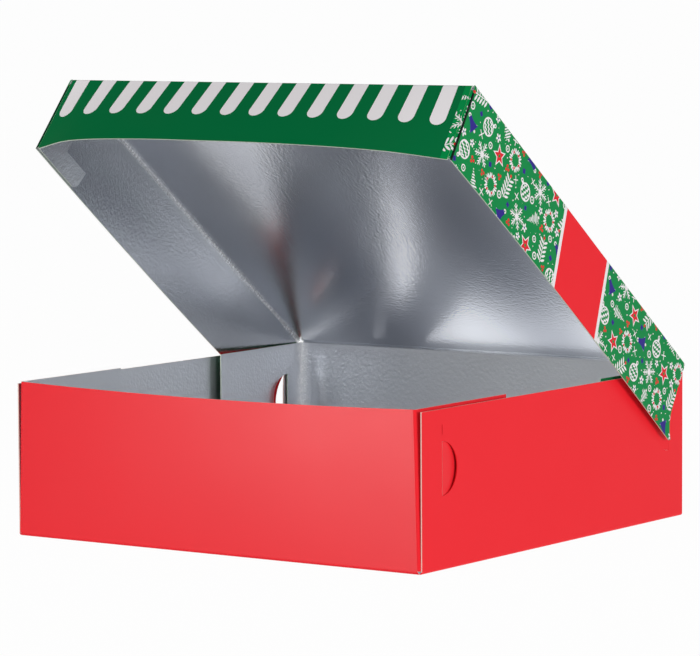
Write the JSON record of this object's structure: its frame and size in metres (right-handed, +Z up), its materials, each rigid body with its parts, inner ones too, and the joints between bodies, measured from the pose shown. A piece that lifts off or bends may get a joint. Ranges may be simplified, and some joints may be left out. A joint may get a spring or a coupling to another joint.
{
  "type": "bakery box",
  "caption": "Square folding bakery box of foil-lined board, with a hinged flanged lid, half-moon corner locks and hooked lid corners.",
  "frame": {"origin": "centre of the base's underside, on the surface the box stands on", "axes": "+X to the right along the front wall, +Y from the front wall to the hinged back wall, +Z up"},
  "size_m": [0.2504, 0.2427, 0.2235],
  "materials": {
    "red_board": "satin",
    "green_board": "satin",
    "striped_board": "satin",
    "patterned_board": "satin"
  },
  "bodies": {
    "tray": {"base_panel": "red_board", "front_wall": "red_board", "back_wall": "green_board", "left_wall": "red_board", "right_wall": "red_board", "front_left_flap": "red_board", "front_right_flap": "red_board", "back_left_flap": "green_board", "back_right_flap": "green_board"},
    "lid": {"lid_panel": "patterned_board", "lid_front_flange": "striped_board", "lid_left_flange": "patterned_board", "lid_right_flange": "patterned_board", "lid_left_corner_flap": "patterned_board", "lid_right_corner_flap": "patterned_board"},
    "front_left_lock": {"front_left_lock": "red_board"},
    "front_right_lock": {"front_right_lock": "red_board"},
    "back_left_lock": {"back_left_lock": "red_board"},
    "back_right_lock": {"back_right_lock": "red_board"}
  },
  "joints": [
    {"name": "lid_hinge", "type": "hinge", "parent": "tray", "child": "lid", "pos_m": [0, 0.12035, 0.07675], "axis": [-1, 0, 0], "range_deg": [-37, 161]},
    {"name": "front_left_crease", "type": "hinge", "parent": "tray", "child": "front_left_lock", "pos_m": [-0.1191, -0.1018, 0.0474], "axis": [0, 0, -1], "range_deg": [-12, 63]},
    {"name": "front_right_crease", "type": "hinge", "parent": "tray", "child": "front_right_lock", "pos_m": [0.1191, -0.1018, 0.0474], "axis": [0, 0, 1], "range_deg": [-7, 68]},
    {"name": "back_left_crease", "type": "hinge", "parent": "tray", "child": "back_left_lock", "pos_m": [-0.1191, 0.105, 0.0474], "axis": [0, 0, 1], "range_deg": [-33, 42]},
    {"name": "back_right_crease", "type": "hinge", "parent": "tray", "child": "back_right_lock", "pos_m": [0.1191, 0.105, 0.0474], "axis": [0, 0, -1], "range_deg": [-2, 73]}
  ]
}
